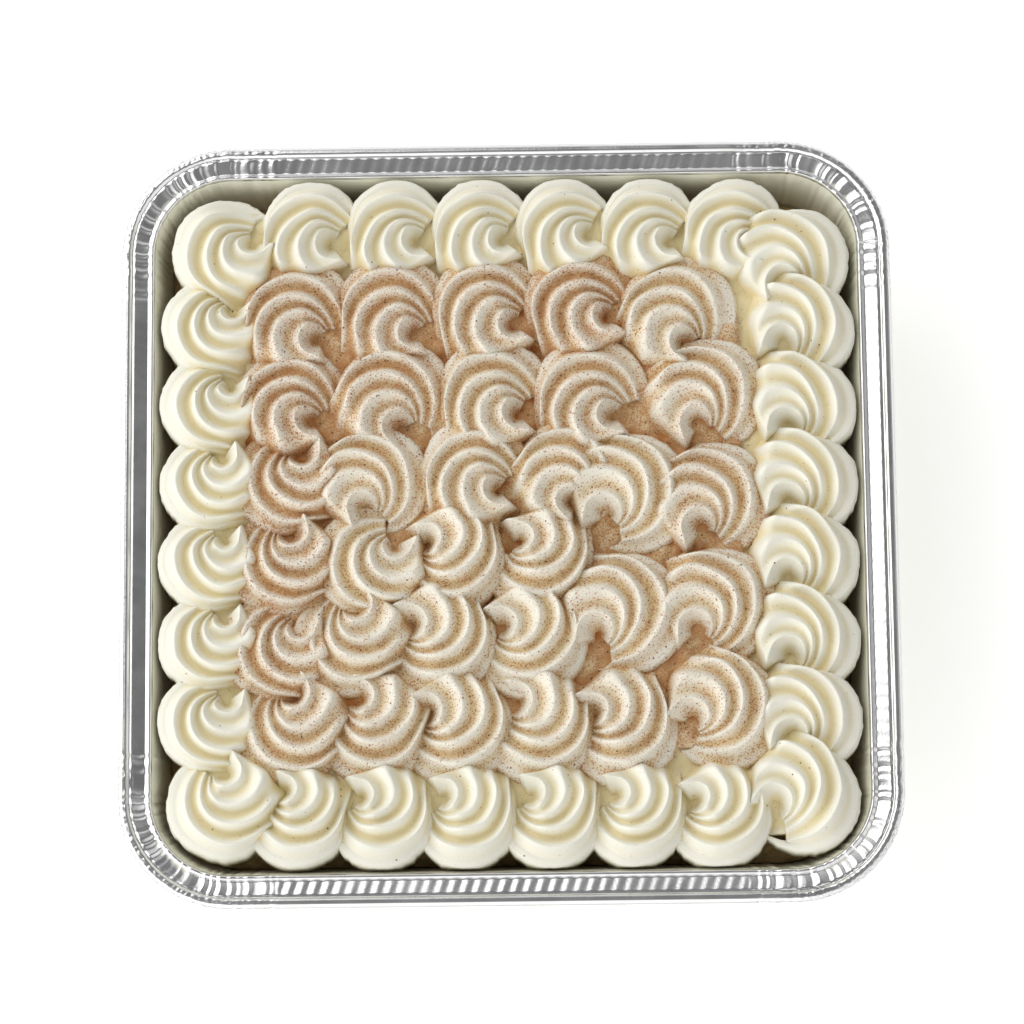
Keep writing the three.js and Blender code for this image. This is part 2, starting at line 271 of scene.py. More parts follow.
def wall_corner(half):
    return blend(BASE_CORNER_RADIUS, LIP_CORNER_RADIUS, (half - FLOOR_HALF) / (LIP_HALF - FLOOR_HALF))


def rim_corner(half):
    return RIM_CORNER_RADIUS - (RIM_HALF - half)


print("lip half width", round(LIP_HALF / MM, 1), "mm, foot", round(FOOT_HALF / MM, 1), "mm")

# %% [markdown]
# ## The foil tray: the way round
# Round the tray the sheet has four sides and four corners. The sides carry even flutes and the
# corners carry gathered pleats, where the flat sheet had too much foil for the bend. A stop on the
# way round knows where it is on a side or a corner, and how far along in millimetres.

# %% Stops round the tray
SIDE_STOPS = 290
CORNER_STOPS = 150
GATHER_LENGTH = 12.5 * MM  # how far the pleats run past a corner's bend
SIDE_LENGTH = 2 * (RIM_HALF - RIM_CORNER_RADIUS)
CORNER_LENGTH = math.pi / 2 * (LIP_CORNER_RADIUS + FLANGE_WIDTH / 2)


def stop_round(number):
    """Corner 0 is at the far right, and then counter-clockwise; each corner is followed by a side."""
    quarter, step = divmod(number, CORNER_STOPS + SIDE_STOPS)
    quarter %= 4
    if step < CORNER_STOPS:
        share = step / CORNER_STOPS
        along = share * CORNER_LENGTH
        from_bend = 0.0
        return quarter, share, None, along, from_bend
    share = (step - CORNER_STOPS) / SIDE_STOPS
    along = CORNER_LENGTH + share * SIDE_LENGTH
    from_bend = min(share, 1 - share) * SIDE_LENGTH
    return quarter, 1.0, share, along, from_bend


def outline_point(stop, half, corner_radius):
    """The place and the outward direction of a stop on a rounded square."""
    quarter, turn, side, _, _ = stop
    angle = (quarter + turn) * math.pi / 2
    out = Vector((math.cos(angle), math.sin(angle), 0))
    middle = half - corner_radius
    signs = ((1, 1), (-1, 1), (-1, -1), (1, -1))
    corner = Vector((*signs[quarter], 0)) * middle
    if side is not None:
        corner = corner.lerp(Vector((*signs[(quarter + 1) % 4], 0)) * middle, side)
    return corner + out * corner_radius, out


STOPS = 4 * (CORNER_STOPS + SIDE_STOPS)
print("the sheet has", STOPS, "stops round the tray")

# %% [markdown]
# ## The foil tray: flutes, pleats and crackle
# Flutes are an even wave along the sides; they are pressed deeper on some sides than on others.
# Pleats are flat facets between sharp creases at uneven distances, so each facet tilts its own way
# and catches the light or not. The rolled rim is crackled in the corners by finer creases.

# %% Relief of the foil
FLUTE_PITCH = 3.3 * MM
FLUTE_HEIGHT = 0.13 * MM
FLUTE_STRENGTH = (1.0, 0.12, 0.9, 0.5)  # far side, left, near, right
FLUTE_LEAN = 0.35
PLEAT_HEIGHT = 0.34 * MM
PLEAT_WIDTHS = (0.45 * MM, 1.5 * MM)
CRACKLE_HEIGHT = 0.16 * MM
CRACKLE_WIDTHS = (0.35 * MM, 1.0 * MM)
CRACKLE_CELL = 0.8 * MM
DENT_DEPTH = 0.12 * MM
PLEAT_SEED, CRACKLE_SEED = 10, 20


def creases(seed, length, low, high):
    """Places along a length and heights from -1 to 1, with uneven steps between low and high."""
    chance = random.Random(seed)
    places, at = [], 0.0
    while at < length + high:
        places.append((at, chance.uniform(-1, 1)))
        at += chance.uniform(low, high)
    return places


def crease_height(places, at):
    number = bisect.bisect_right(places, (at, 2.0)) - 1
    if number < 0 or number + 1 >= len(places):
        return 0.0
    (start, a), (end, b) = places[number], places[number + 1]
    return blend(a, b, (at - start) / (end - start))


GATHER_RUN = CORNER_LENGTH + 2 * GATHER_LENGTH
pleats = [creases(PLEAT_SEED + corner, GATHER_RUN, *PLEAT_WIDTHS) for corner in range(4)]
crackles = [creases(CRACKLE_SEED + corner, GATHER_RUN, *CRACKLE_WIDTHS) for corner in range(4)]


def gathered(stop):
    """Which corner's pleats a stop is in, how far along them, and how strong they are."""
    quarter, _, side, along, from_bend = stop
    if side is None:
        return quarter, along + GATHER_LENGTH, 1.0
    strength = 1 - ease(from_bend, GATHER_LENGTH - 1 * MM, GATHER_LENGTH)
    if side < 0.5:
        return quarter, CORNER_LENGTH + GATHER_LENGTH + from_bend, strength
    return (quarter + 1) % 4, GATHER_LENGTH - from_bend, strength


def flute_wave(stop, outwards):
    quarter, _, side, along, _ = stop
    phase = (along + FLUTE_LEAN * outwards) / FLUTE_PITCH * 2 * math.pi
    wave = math.cos(phase)
    patchy = 0.75 + 0.5 * noise.noise(Vector((along * 30, quarter * 7.0, 0)))
    return FLUTE_STRENGTH[quarter] * patchy * (0.6 * wave + 0.4 * abs(wave) * wave)


print("creases in each corner:", [len(p) for p in pleats])

# %% [markdown]
# ## The foil tray: its cross-section
# The rows below go once round the cut sheet: out under the floor, up the outside of the wall, out
# under the flange, round the rolled rim, back in over the flange and the inner lip, and down the
# inside of the wall to the floor. Each row says how wide and how high it lies, and how much of each
# relief reaches it.

# %% Rows of the cross-section
# A row is half width, height, corner radius, then the shares of flute, pleat and crackle relief.
def tray_rows():
    t = WALL_THICKNESS
    bend = BASE_BEND_RADIUS
    rows = []

    def wall(half, z, pleat):
        rows.append((half, z, wall_corner(half), 0.0, pleat, 0.0))

    def rim(half, z, flute=0.0, pleat=0.0, crackle=0.0):
        rows.append((half, z, rim_corner(half), flute, pleat, crackle))

    wall(FLOOR_HALF, 0, 0)
    wall(FLOOR_HALF + bend * 0.5, bend * 0.12, 0.1)
    wall(FOOT_HALF + t * 0.4, bend * 0.55, 0.2)
    for share in (0.1, 0.4, 0.7, 0.96):
        z = blend(bend, FLANGE_TOP - 1.4 * MM, share)
        wall(inner_half(z) + t, z, 0.2 + 0.6 * share)
    under = FLANGE_TOP - t - 0.1 * MM
    rim(LIP_HALF + 1.3 * MM, under, pleat=0.8)
    rim(LIP_HALF + 3.2 * MM, under, 0.5, 0.8)
    bead = (RIM_HALF - BEAD_RADIUS, TRAY_HEIGHT - BEAD_RADIUS)
    rim(bead[0] - BEAD_RADIUS * 0.9, under, 0.2, 0.4)
    for degrees in range(-130, 160, 15):
        angle = math.radians(degrees)
        ripple = 1 - 0.055 * (1 + math.cos(math.radians(degrees * 8 + 20))) * (degrees > 0)
        radius = BEAD_RADIUS * ripple
        rim(bead[0] + radius * math.cos(angle), bead[1] + radius * math.sin(angle), crackle=1.0)
    inner_edge = bead[0] - BEAD_RADIUS * 1.05
    lip_edge = LIP_HALF + 1.6 * MM
    rim(inner_edge, FLANGE_TOP + FLANGE_SLOPE, 0.2, 0.5, 0.3)
    for share in (0.15, 0.35, 0.55, 0.75, 0.92):
        slope = blend(FLANGE_SLOPE, -FLANGE_SLOPE, share)
        rim(blend(inner_edge, lip_edge, share), FLANGE_TOP + slope, 1.0, 1.0)
    rim(lip_edge, FLANGE_TOP - FLANGE_SLOPE, 0.3, 0.9)
    rim(LIP_HALF + 1.0 * MM, FLANGE_TOP + 0.30 * MM, 0.0, 0.7)
    rim(LIP_HALF + 0.5 * MM, FLANGE_TOP + 0.45 * MM, 0.0, 0.7)
    rim(LIP_HALF + 0.1 * MM, FLANGE_TOP + 0.1 * MM, 0.0, 0.7)
    rim(LIP_HALF - 0.15 * MM, FLANGE_TOP - 0.6 * MM, 0.0, 0.8)
    for share in (0.97, 0.88, 0.78, 0.65, 0.5, 0.35, 0.2, 0.08):
        z = blend(bend, FLANGE_TOP - 1.4 * MM, share)
        wall(inner_half(z), z, 0.15 + 0.75 * share)
    wall(FOOT_HALF - bend * 0.12, bend * 0.62 + t * 0.5, 0.15)
    wall(FLOOR_HALF + bend * 0.45, bend * 0.12 + t, 0.1)
    wall(FLOOR_HALF, t, 0)
    return rows


ROWS_OF_FOIL = tray_rows()
print("the cross-section has", len(ROWS_OF_FOIL), "rows")

# %% [markdown]
# ## The foil tray: the sheet
# A grid is the sheet: one direction goes round the tray, the other goes through the rows. Its
# points are moved to their places, the seam is welded, and the two open ends, over and under the
# floor, are filled.

# %% Bend the sheet
WALL_TOP = FLANGE_TOP - 1.2 * MM  # above it the relief lifts the foil, below it pushes it sideways
WALL_FOOT = 2 * MM


def foil_point(stop, row_number):
    half, z, corner_radius, flute, pleat, crackle = ROWS_OF_FOIL[row_number]
    place, out = outline_point(stop, half, corner_radius)
    corner, run, gather = gathered(stop)
    lift = 0.0
    if flute:
        lift += FLUTE_HEIGHT * flute * (1 - gather) * flute_wave(stop, half - LIP_HALF)
    push = 0.0
    if pleat and gather > 0:
        fold = crease_height(pleats[corner], run + 0.25 * MM * math.sin(row_number * 0.9))
        relief = PLEAT_HEIGHT * pleat * gather * fold
        if z > WALL_TOP:
            lift += relief
        else:
            push += relief
    if crackle and gather > 0:
        fine = crease_height(crackles[corner], run)
        cell = noise.noise(Vector((run / CRACKLE_CELL, row_number * 0.9, corner * 5.0)))
        relief = CRACKLE_HEIGHT * crackle * gather * (0.4 * fine + 0.9 * cell - 0.5)
        push += relief
        lift += relief
    if WALL_FOOT < z < WALL_TOP:
        push -= abs(noise.noise(Vector((place.x * 55, place.y * 55, z * 60))) * DENT_DEPTH)
    point = place + out * push
    point.z = max(z + lift, 0)
    return point


form = bmesh.new()
last_row = len(ROWS_OF_FOIL) - 1
bmesh.ops.create_grid(form, x_segments=STOPS, y_segments=last_row, size=0.5)
stops = [stop_round(number) for number in range(STOPS)]
for vert in form.verts:
    column = round((vert.co.x + 0.5) * STOPS) % STOPS
    vert.co = foil_point(stops[column], round((vert.co.y + 0.5) * last_row))
bmesh.ops.remove_doubles(form, verts=form.verts, dist=1e-7)
open_edges = [edge for edge in form.edges if edge.is_boundary]
bmesh.ops.holes_fill(form, edges=open_edges)
bmesh.ops.recalc_face_normals(form, faces=form.faces)
print("open edges left in the foil:", sum(edge.is_boundary for edge in form.edges))

# %% [markdown]
# ## The foil's finish
# Aluminium foil is bright metal with a fine rolling grain and soft wrinkles that blur what it
# reflects. The grain and wrinkles are a node group. Inside the tray the wall is duller and a little
# yellow: partly a thin film of milk and cream, partly the cream's reflection in the foil, painted.

# %% Foil finish
crinkle, inputs, outputs = new_group(
    "foil_crinkle",
    [("Wrinkle Size", "Float", 120.0), ("Grain Size", "Float", 1500.0), ("Wrinkle", "Float", 0.5)],
    [("Height", "Float"), ("Sheen", "Float")],
)
place = object_place(crinkle)
wide = put(crinkle, "TexNoise", {"Vector": place, "Scale": inputs.outputs["Wrinkle Size"]})
fine = put(crinkle, "TexNoise", {"Vector": place, "Scale": inputs.outputs["Grain Size"]})
strong = math_node(crinkle, "MULTIPLY", wide.outputs["Fac"], inputs.outputs["Wrinkle"])
height = add_product(crinkle, fine.outputs["Fac"], 0.25, strong)
crinkle.links.new(height, outputs.inputs["Height"])
crinkle.links.new(wide.outputs["Fac"], outputs.inputs["Sheen"])

foil_finish, tree, shader = new_material("aluminium_foil")
relief = place_group(tree, crinkle, {"Wrinkle": 0.5})
FOIL_COLOUR = (0.74, 0.74, 0.74, 1)
# Inside the wall: a dull yellow that is partly a milk film and partly a painted reflection of the
# cream.
FILM_AND_PAINTED_REFLECTION_COLOUR = (0.88, 0.87, 0.73, 1)
where = put(tree, "SeparateXYZ", {"Vector": object_place(tree)})
side_x = math_node(tree, "ABSOLUTE", where.outputs["X"])
side_y = math_node(tree, "ABSOLUTE", where.outputs["Y"])
reach = math_node(tree, "MAXIMUM", side_x, side_y)
low_down = rescale(tree, where.outputs["Z"], FLANGE_TOP - 0.9 * MM, FLANGE_TOP - 0.3 * MM, 1, 0)
inside = rescale(tree, reach, LIP_HALF + 0.1 * MM, LIP_HALF + 0.3 * MM, 1, 0)
film_and_painted_reflection = math_node(tree, "MULTIPLY", low_down, inside)
tree.links.new(mix_colours(tree, film_and_painted_reflection, FOIL_COLOUR, FILM_AND_PAINTED_REFLECTION_COLOUR), shader.inputs["Base Color"])
tree.links.new(rescale(tree, film_and_painted_reflection, 0, 1, 1.0, 0.0), shader.inputs["Metallic"])
rough = rescale(tree, relief.outputs["Sheen"], 0.3, 0.7, 0.17, 0.27)
tree.links.new(add_product(tree, film_and_painted_reflection, 0.2, rough), shader.inputs["Roughness"])
tree.links.new(bump(tree, relief.outputs["Height"], 0.25, 0.3 * MM), shader.inputs["Normal"])

finish_piece("foil_pan", form, foil_finish, "foil_tray")

# %% [markdown]
# ## The sponge
# The sponge cake fills the tray up to under the cream. It stays the imported solid, since nothing
# of it shows but a dark strip beside the cream, and it gets a crumb with small pores, made by two
# sizes of cells. Its yellow is painted dark and brown, as painted shade for the deep gap by the wall.

# %% Sponge finish
sponge_finish, tree, shader = new_material("milk_soaked_sponge_in_painted_shade")
place = object_place(tree)
pores = put(tree, "TexVoronoi", {"Vector": place, "Scale": 500.0}).outputs["Distance"]
crumb = put(tree, "TexNoise", {"Vector": place, "Scale": 260.0, "Detail": 6.0}).outputs["Fac"]
# Painted shade: both crumb colours are made dark, as the shade deep in the gap by the wall.
SPONGE_IN_PAINTED_SHADE = (0.60, 0.45, 0.23, 1)
SPONGE_DARK_CRUMB_IN_PAINTED_SHADE = (0.38, 0.26, 0.11, 1)
tone = rescale(tree, crumb, 0.35, 0.65)
tree.links.new(mix_colours(tree, tone, SPONGE_DARK_CRUMB_IN_PAINTED_SHADE, SPONGE_IN_PAINTED_SHADE), shader.inputs["Base Color"])
shader.inputs["Roughness"].default_value = 0.75
tree.links.new(bump(tree, pores, 0.6, 0.5 * MM), shader.inputs["Normal"])
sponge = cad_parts["sponge_cake"]
sponge.data.materials.clear()
sponge.data.materials.append(sponge_finish)

# %% [markdown]
# ## One piped swirl
# A star nozzle leaves a bundle of ridges. The bag goes once round and ends in a small eye, and the
# next swirl covers the end of the last one. The ridges here are arcs that leave the eye, run round
# the back and trail off, in units of the swirl's radius: +x is the way the row was piped and +y is
# the side that faces the wall. The lowest one is the edge and the next is the skirt, which is the
# broad outer fold. The swirls at the right have a wider skirt than the others, so there are two
# sets of ridges, and each row of swirls lies somewhere between them.

# %% Ridges of a swirl
# centre x, centre y, radius, from and to in degrees, flare, tail, rise, depth of the next groove
NARROW_SKIRT = (
    (0.02, 0.02, 1.03, -14, 190, 0.02, 0.95, 0.00, 0.0 * MM),  # edge
    (0.02, 0.01, 0.95, -8, 190, 0.00, 0.90, 0.36, 1.2 * MM),  # lip of the skirt
    (-0.03, -0.14, 0.80, 4, 190, 0.02, 0.85, 0.84, 3.2 * MM),
    (0.05, -0.32, 0.61, 18, 200, 0.06, 0.75, 1.00, 2.8 * MM),
    (0.22, -0.38, 0.42, 36, 208, 0.12, 0.70, 0.98, 2.2 * MM),
    (0.42, -0.36, 0.22, 56, 268, 0.45, 0.46, 0.88, 0.0 * MM),  # hooks round the eye
    (0.44, -0.36, 0.05, 70, 280, 0.00, 0.10, 0.08, 0.0 * MM),  # eye
)
WIDE_SKIRT = (
    (0.03, 0.03, 1.02, -14, 190, 0.00, 1.05, 0.00, 0.0 * MM),
    (0.05, 0.03, 0.93, -4, 188, 0.00, 1.05, 0.38, 1.7 * MM),
    (0.15, -0.50, 1.12, 54, 176, -0.04, 0.80, 0.86, 3.1 * MM),
    (0.30, -0.64, 0.90, 68, 205, 0.00, 0.60, 1.00, 2.6 * MM),
    (0.38, -0.45, 0.54, 64, 222, 0.05, 0.55, 0.96, 2.0 * MM),
    (0.49, -0.33, 0.32, 66, 270, 0.15, 0.50, 0.86, 0.0 * MM),
    (0.47, -0.31, 0.05, 80, 290, 0.00, 0.10, 0.06, 0.0 * MM),
)
ARC_SHARE = 0.72  # of the way along a ridge; the rest is its straight tail
SWIRL_BOTTOM = 37.2 * MM
SWIRL_EDGE_HEIGHT = 42.5 * MM
SWIRL_RISE = 9 * MM
RING_STEP = 0.8 * MM  # each ring inwards stands this much higher
GROOVE_SHARPNESS = 0.85
START_SHARE = 0.34  # of a ridge's height where it leaves the eye


def ridge_point(ridge, v):
    cx, cy, radius, start, end, flare, tail, rise, _ = ridge
    turned = min(v / ARC_SHARE, 1)
    angle = math.radians(blend(start, end, turned))
    radius *= 1 + flare * turned ** 3
    trail = tail * max(v - ARC_SHARE, 0) / (1 - ARC_SHARE)
    x = cx + radius * math.cos(angle) - trail * math.sin(angle)
    y = cy + radius * math.sin(angle) + trail * math.cos(angle)
    return Vector((x, y, rise))


def along_ridge(v, x, y):
    """How much of a ridge's height is left: it sinks at both ends, and under the next ring inwards.

    The outer ridges' tails sink early, and those below the eye stay up almost to their end.
    """
    sinks_from = blend(0.68, 0.87, ease(x, -0.6, 0))
    start = blend(START_SHARE, 1, ease(v, 0, 0.3))
    return start * (1 - ease(v, sinks_from, 1)) * (1 - ease(-y, 0.85, 1.35))


def swirl_point(ridges, u, v):
    """Place in units of the radius, height over the edge in metres, and how deep in a groove."""
    low = min(int(u), len(ridges) - 2)
    point = ridge_point(ridges[low], v).lerp(ridge_point(ridges[low + 1], v), u - low)
    groove = 0.0
    if u < 1:
        point.z = ridges[1][7] * math.sqrt(1 - (1 - u) ** 2)
    else:
        groove = (0.5 - 0.5 * math.cos(2 * math.pi * u)) ** GROOVE_SHARPNESS
    depth = ridges[low][8] * groove
    height = max((SWIRL_RISE * point.z - depth) * along_ridge(v, point.x, point.y), 0)
    return point.x, point.y, height, depth / DEEPEST_GROOVE


STEPS_ACROSS, STEPS_ALONG = 84, 56
DEEPEST_GROOVE = max(ridge[8] for ridge in NARROW_SKIRT)


def swirl_template(skirt):
    pairs = zip(NARROW_SKIRT, WIDE_SKIRT)
    ridges = [[blend(narrow, wide, skirt) for narrow, wide in zip(*pair)] for pair in pairs]
    across = [i / STEPS_ACROSS * (len(ridges) - 1) for i in range(STEPS_ACROSS + 1)]
    return [[swirl_point(ridges, u, j / STEPS_ALONG) for j in range(STEPS_ALONG + 1)] for u in across]


highest = max(point[2] for line in swirl_template(0.0) for point in line)
print("highest ridge is", round(highest / MM, 2), "mm over the swirl's edge")

# %% [markdown]
# ## The rows of swirls
# The cook went clockwise round the cake, from the wall inwards. Each row runs straight from one
# centre to another, and its swirls are each turned a little differently. The last number of each
# row is how heavily the cinnamon fell on each swirl.

# %% Rows of swirls
# ring, first centre and last centre in mm, radius in mm, skirt from narrow 0 to wide 1, turns in
# degrees from +X, cinnamon
SWIRL_ROWS = (
    (0, (-75.3, 74.4), (-75.3, 74.4), 14.0, 0.1, (48,), (0.02,)),
    (0, (-52.4, 80.4), (61.0, 79.6), 12.9, 0.7, (-6, 0, 3, 12, -7, -12),
     (0.03, 0.03, 0.04, 0.04, 0.04, 0.02)),
    (0, (77.6, 70.4), (77.6, 70.4), 14.0, 0.9, (-80,), (0.03,)),
    (0, (79.8, 51.0), (79.0, -54.2), 13.2, 1.0, (-109, -99, -102, -108, -107, -102), (0.05,) * 6),
    (0, (76.9, -75.0), (76.9, -75.0), 14.2, 0.7, (-128,), (0.04,)),
    (0, (54.6, -80.2), (-55.8, -79.2), 13.2, 0.2, (186, 171, 171, 177, 174, 158), (0.04,) * 6),
    (0, (-75.6, -75.8), (-75.6, -75.8), 14.4, 0.2, (122,), (0.01,)),
    (0, (-79.6, -53.6), (-79.0, 53.4), 12.9, 0.1, (81, 91, 90, 98, 77, 74), (0.02,) * 6),
    (1, (-55.6, 56.2), (19.9, 58.4), 14.9, 0.2, (-19, -11, 4, 6), (0.85, 0.95, 0.8, 1.05)),
    (1, (45.8, 55.4), (45.8, 55.4), 15.4, 0.0, (-38,), (0.6,)),
    (1, (53.4, 33.0), (56.2, -52.4), 15.2, 0.2, (-71, -77, -91, -129), (0.7, 0.7, 0.6, 0.6)),
    (1, (29.4, -56.6), (-57.8, -55.8), 14.8, 0.1, (192, 170, 190, 155, 122),
     (0.6, 0.5, 0.5, 0.6, 0.65)),
    (1, (-61.2, -34.0), (-57.4, 33.0), 14.2, 0.2, (77, 110, 95, -12), (0.85, 0.9, 0.9, 1.0)),
    (2, (-29.7, 33.4), (22.2, 33.4), 15.0, 0.2, (-43, 0, -8), (0.85, 0.65, 0.75)),
    (2, (32.6, 6.6), (30.6, -26.0), 16.0, 0.2, (-102, -105), (0.5, 0.6)),
    (2, (5.5, -33.4), (-42.0, -32.6), 14.8, 0.1, (189, 188, 117), (0.5, 0.5, 0.6)),
    (2, (-36.6, -11.7), (-35.4, 10.4), 14.4, 0.2, (71, -70), (0.5, 0.6)),
    (3, (-8.6, 12.4), (16.6, 12.0), 14.4, 0.2, (-3, -48), (0.6, 0.6)),
    (3, (8.4, -12.3), (-14.9, -11.9), 14.0, 0.1, (174, 182), (0.55, 0.55)),
)


def swirls_of(row):
    ring, first, last, radius, skirt, turns, dusting = row
    for number, (turn, dust) in enumerate(zip(turns, dusting)):
        along = number / (len(turns) - 1) if len(turns) > 1 else 0
        centre = Vector(first).lerp(Vector(last), along) * MM
        yield {"ring": ring, "centre": centre, "radius": radius * MM, "skirt": skirt,
               "turn": math.radians(turn), "dust": dust}


SWIRLS = [swirl for row in SWIRL_ROWS for swirl in swirls_of(row)]
print(len(SWIRLS), "swirls,", sum(s["ring"] == 0 for s in SWIRLS), "of them in the border")

# %% [markdown]
# ## Piping the swirls
# For each swirl a grid is laid over the template: one direction crosses the ridges, the other runs
# along them. Real cream is never even, so every point also wanders a little by smooth noise. The
# open edge is then drawn down into the spread cream and closed underneath.

# %% Pipe a swirl
PRESSED_WIDTH = 1.5 * MM


def soft_limit(distance, limit):
    start = limit - PRESSED_WIDTH
    if distance <= start:
        return distance
    return limit - PRESSED_WIDTH * math.exp((start - distance) / PRESSED_WIDTH)


def inside_wall(x, y, z):
    half = inner_half(z) - FIT_GAP
    corner = wall_corner(half)
    middle = half - corner
    out_x, out_y = abs(x) - middle, abs(y) - middle
    if out_x > 0 and out_y > 0:
        out = math.hypot(out_x, out_y)
        scale = soft_limit(out, corner) / out
        x = math.copysign(middle + out_x * scale, x)
        y = math.copysign(middle + out_y * scale, y)
        return Vector((x, y, z))
    x = math.copysign(soft_limit(abs(x), half), x)
    y = math.copysign(soft_limit(abs(y), half), y)
    return Vector((x, y, z))


WANDER = 0.05  # of the radius
HEIGHT_WANDER = 0.12  # of the height
FRAY_WIDTH = 1.6 * MM
RAGGED = 0.35 * MM  # how far the skirt's edge frays
noise.seed_set(11)  # noise_vector takes its offsets from the clock unless they are seeded


def pipe_swirl(form, swirl, number, groove_layer, dust_layer):
    grid = bmesh.ops.create_grid(form, x_segments=STEPS_ACROSS, y_segments=STEPS_ALONG, size=0.5)
    turn = Matrix.Rotation(swirl["turn"], 2)
    edge_height = SWIRL_EDGE_HEIGHT + swirl["ring"] * RING_STEP
    verts = grid["verts"]
    template = swirl_template(swirl["skirt"])
    for vert in verts:
        i = round((vert.co.x + 0.5) * STEPS_ACROSS)
        j = round((vert.co.y + 0.5) * STEPS_ALONG)
        x, y, height, groove = template[i][j]
        drift = noise.noise_vector(Vector((x * 1.3, y * 1.3, number * 3.7)))
        flat = turn @ Vector((x + drift.x * WANDER, y + drift.y * WANDER))
        place = swirl["centre"] + flat * swirl["radius"]
        edge = max(0, 1 - i / STEPS_ACROSS * (len(NARROW_SKIRT) - 1))
        if edge > 0:
            at = Vector((place.x / FRAY_WIDTH, place.y / FRAY_WIDTH, number))
            fray = noise.fractal(at, 0.8, 2, 3)
            place += (place - swirl["centre"]).normalized() * fray * RAGGED * edge
        height *= 1 + HEIGHT_WANDER * drift.z
        vert.co = inside_wall(place.x, place.y, edge_height + height)
        vert[groove_layer] = groove
        vert[dust_layer] = swirl["dust"]
    rim = list(dict.fromkeys(edge for vert in verts for edge in vert.link_edges if edge.is_boundary))
    drawn = bmesh.ops.extrude_edge_only(form, edges=rim)["geom"]
    for part in drawn:
        if isinstance(part, bmesh.types.BMVert):
            part.co.z = SWIRL_BOTTOM
    loop = [part for part in drawn if isinstance(part, bmesh.types.BMEdge) and part.is_boundary]
    bmesh.ops.contextual_create(form, geom=loop)

# %% Pipe the rings
def pipe_ring(name, swirls):
    form = bmesh.new()
    groove_layer = form.verts.layers.float.new("groove")
    dust_layer = form.verts.layers.float.new("dust")
    for number, swirl in swirls:
        pipe_swirl(form, swirl, number, groove_layer, dust_layer)
    bmesh.ops.recalc_face_normals(form, faces=form.faces)
    print(name, "is", len(swirls), "swirls; open edges:", sum(e.is_boundary for e in form.edges))
    return form


numbered = list(enumerate(SWIRLS))
border = [pair for pair in numbered if pair[1]["ring"] == 0]
piping = {
    "border_piping_far": pipe_ring("border_piping_far", border[:14]),
    "border_piping_near": pipe_ring("border_piping_near", border[14:]),
}
for ring, name in ((1, "outer_dusted_piping"), (2, "middle_dusted_piping"), (3, "centre_piping")):
    piping[name] = pipe_ring(name, [pair for pair in numbered if pair[1]["ring"] == ring])

# %% [markdown]
# ## The spread cream
# Before the piping, a layer of cream is spread over the sponge. It shows only in the small gaps
# between swirls. A square grid is drawn in at the corners to round them and raised by smooth noise
# into spatula waves, and its edge is drawn down.

# %% Spread cream
CAKE_TOP = 36 * MM
BED_BOTTOM = CAKE_TOP + FIT_GAP
BORDER_BED_HALF = inner_half(BED_BOTTOM) - 7.5 * MM
BORDER_BED_TOP = 43.4 * MM
DUSTED_BED_HALF = 62 * MM
DUSTED_BED_TOP = 44.8 * MM
BED_STEPS = 130
BED_WAVE_WIDTH = 7 * MM
BED_WAVE_HEIGHT = 1.3 * MM


def rounded_reach(way, half, corner):
    """How far a rounded square reaches from its middle in a direction."""
    less, more = sorted((abs(way.x), abs(way.y)))
    middle = half - corner
    if half * less <= middle * more:
        return half / more
    across = middle * (less + more)
    return across + math.sqrt(across ** 2 - 2 * middle ** 2 + corner ** 2)


def spread_cream(half, corner, top, dust):
    form = bmesh.new()
    groove_layer = form.verts.layers.float.new("groove")
    dust_layer = form.verts.layers.float.new("dust")
    bmesh.ops.create_grid(form, x_segments=BED_STEPS, y_segments=BED_STEPS, size=half)
    for vert in form.verts:
        if vert.co.length > 0:
            way = vert.co.normalized()
            vert.co *= rounded_reach(way, half, corner) * max(abs(way.x), abs(way.y)) / half
        wave = noise.fractal(Vector((vert.co.x, vert.co.y, 0)) / BED_WAVE_WIDTH, 0.7, 2, 3)
        vert.co.z = top + wave * BED_WAVE_HEIGHT
        # The whole spread cream counts as deep in a groove: more cinnamon stays, and the finish
        # paints shade on it.
        vert[groove_layer] = 0.9
        vert[dust_layer] = dust
    rim = [edge for edge in form.edges if edge.is_boundary]
    drawn = bmesh.ops.extrude_edge_only(form, edges=rim)["geom"]
    for part in drawn:
        if isinstance(part, bmesh.types.BMVert):
            part.co.z = BED_BOTTOM
    loop = [part for part in drawn if isinstance(part, bmesh.types.BMEdge) and part.is_boundary]
    bmesh.ops.contextual_create(form, geom=loop)
    bmesh.ops.recalc_face_normals(form, faces=form.faces)
    return form


beds = {
    "border_spread_cream": spread_cream(BORDER_BED_HALF, 15 * MM, BORDER_BED_TOP, 0.04),
    "dusted_spread_cream": spread_cream(DUSTED_BED_HALF, 10 * MM, DUSTED_BED_TOP, 1.0),
}
print("border bed is", round(2 * BORDER_BED_HALF / MM), "mm wide")

# %% [markdown]
# ## Where the cream is hollow
# Cinnamon settles, and light fails, in the hollows between swirls. The cream's top is felt from
# above on an even grid of heights. The mean height round a place, less its own height, says how
# deep in a hollow it lies, and every point of the cream keeps that for the finish to use.

# %% Feel for the hollows
def cream_surface():
    corners, faces = [], []
    for form in [*piping.values(), *beds.values()]:
        start = len(corners)
        form.verts.index_update()
        corners.extend(vert.co.copy() for vert in form.verts)
        faces.extend([start + vert.index for vert in face.verts] for face in form.faces)
    return BVHTree.FromPolygons(corners, faces)


FELT_HALF = 94 * MM
FELT_STEP = 0.5 * MM
FELT_COUNT = round(2 * FELT_HALF / FELT_STEP) + 1
NO_CREAM = 33 * MM  # the height noted where there is none
HOLLOW_DEPTH = 3.2 * MM
ABOVE = 0.1  # metres: well over the cream
NEAR_REACH, WIDE_REACH = 3, 8  # in steps of the grid

